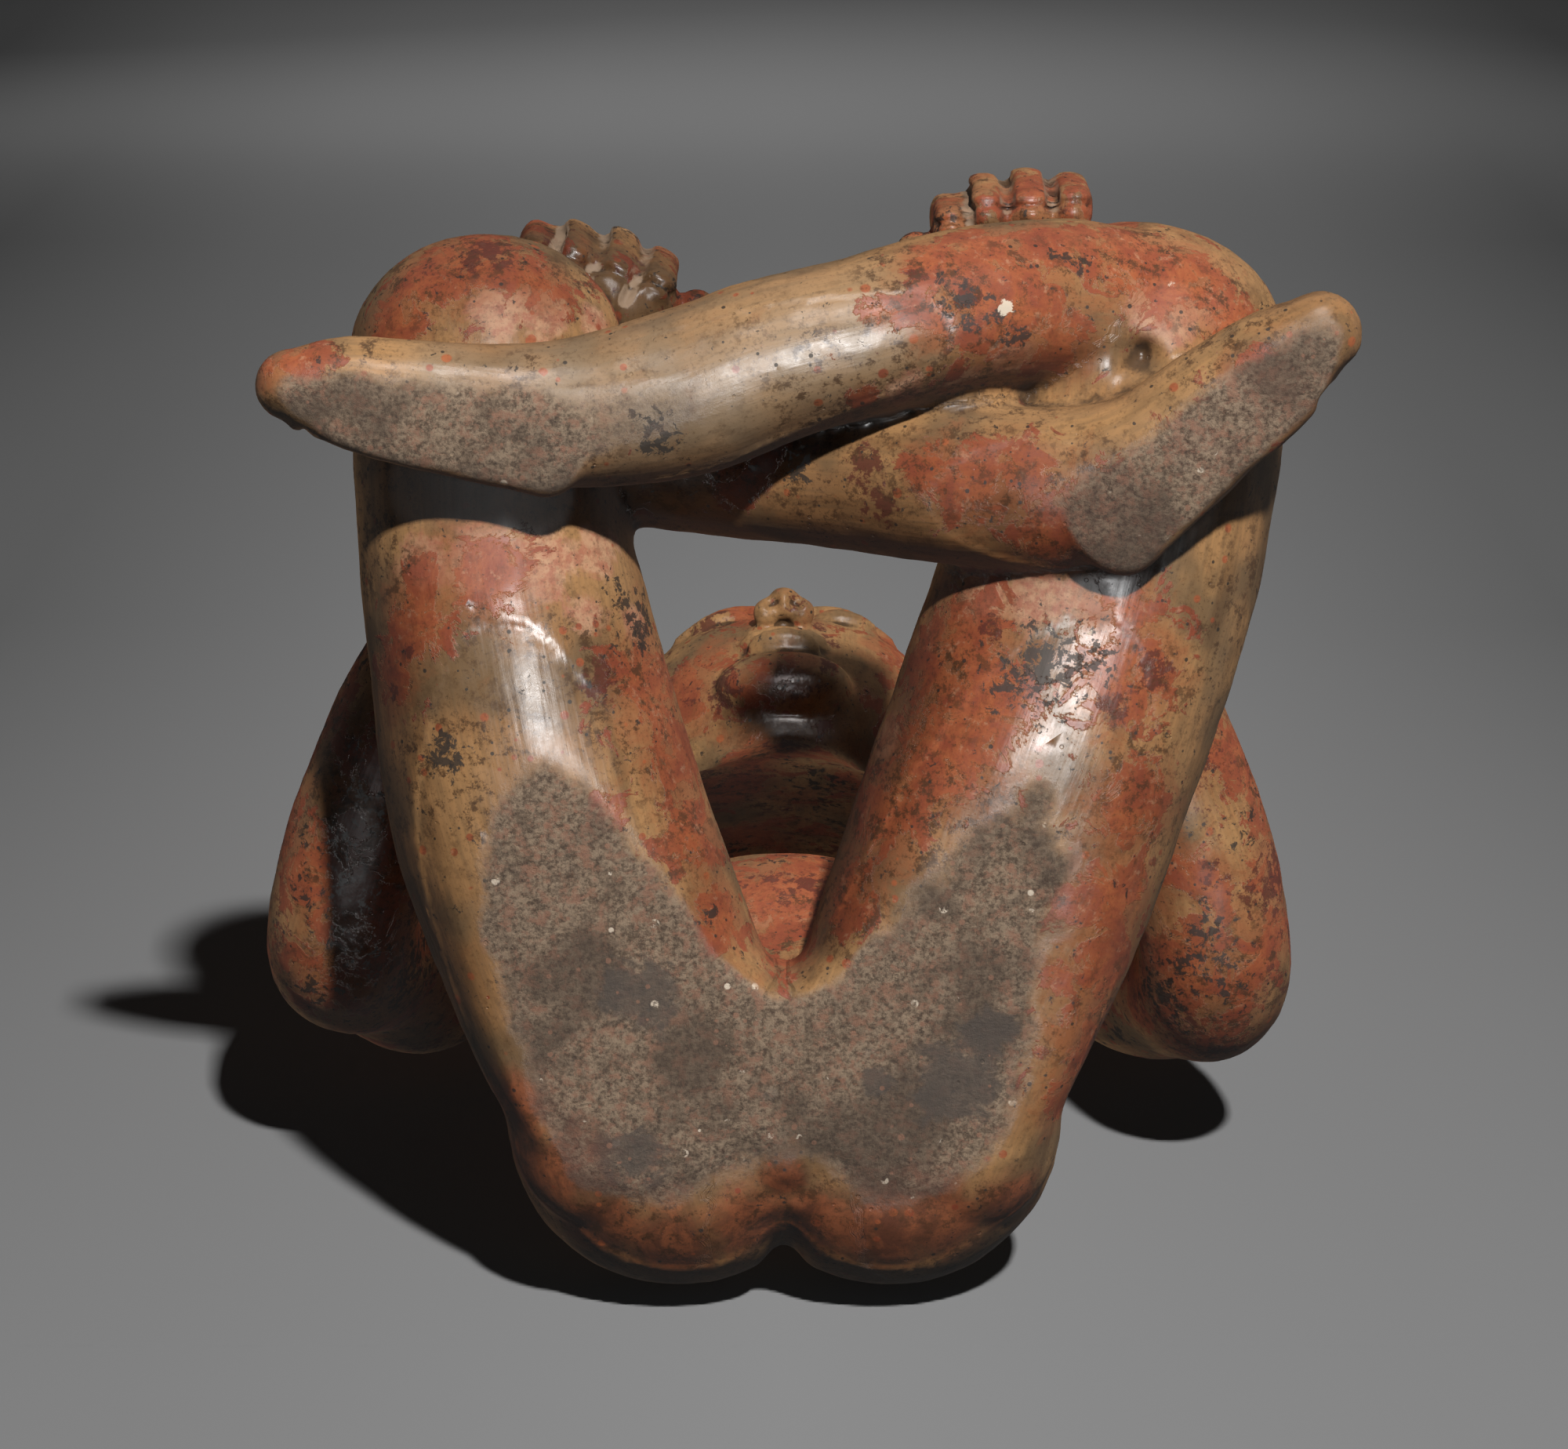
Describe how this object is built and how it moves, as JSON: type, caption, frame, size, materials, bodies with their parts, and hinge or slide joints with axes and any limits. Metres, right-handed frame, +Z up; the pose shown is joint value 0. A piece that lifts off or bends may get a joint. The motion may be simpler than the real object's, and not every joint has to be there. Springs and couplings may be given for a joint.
{
  "type": "seated figure",
  "caption": "Hollow burnished ceramic figure of a person sitting cross-legged, hands on the knees, resting on its worn flat underside.",
  "frame": {"origin": "middle of the bounding box's underside, on the plane that the figure rests on", "axes": "+Z up through the head, -Y the way the figure faces, +X to the figure's left"},
  "size_m": [0.1729, 0.172, 0.2387],
  "materials": {
    "burnished_clay": "burnished tan to orange-red slip with black manganese spots, grey and matte where the underside is worn"
  },
  "bodies": {
    "root": {"seated_figure": "burnished_clay"}
  },
  "joints": []
}
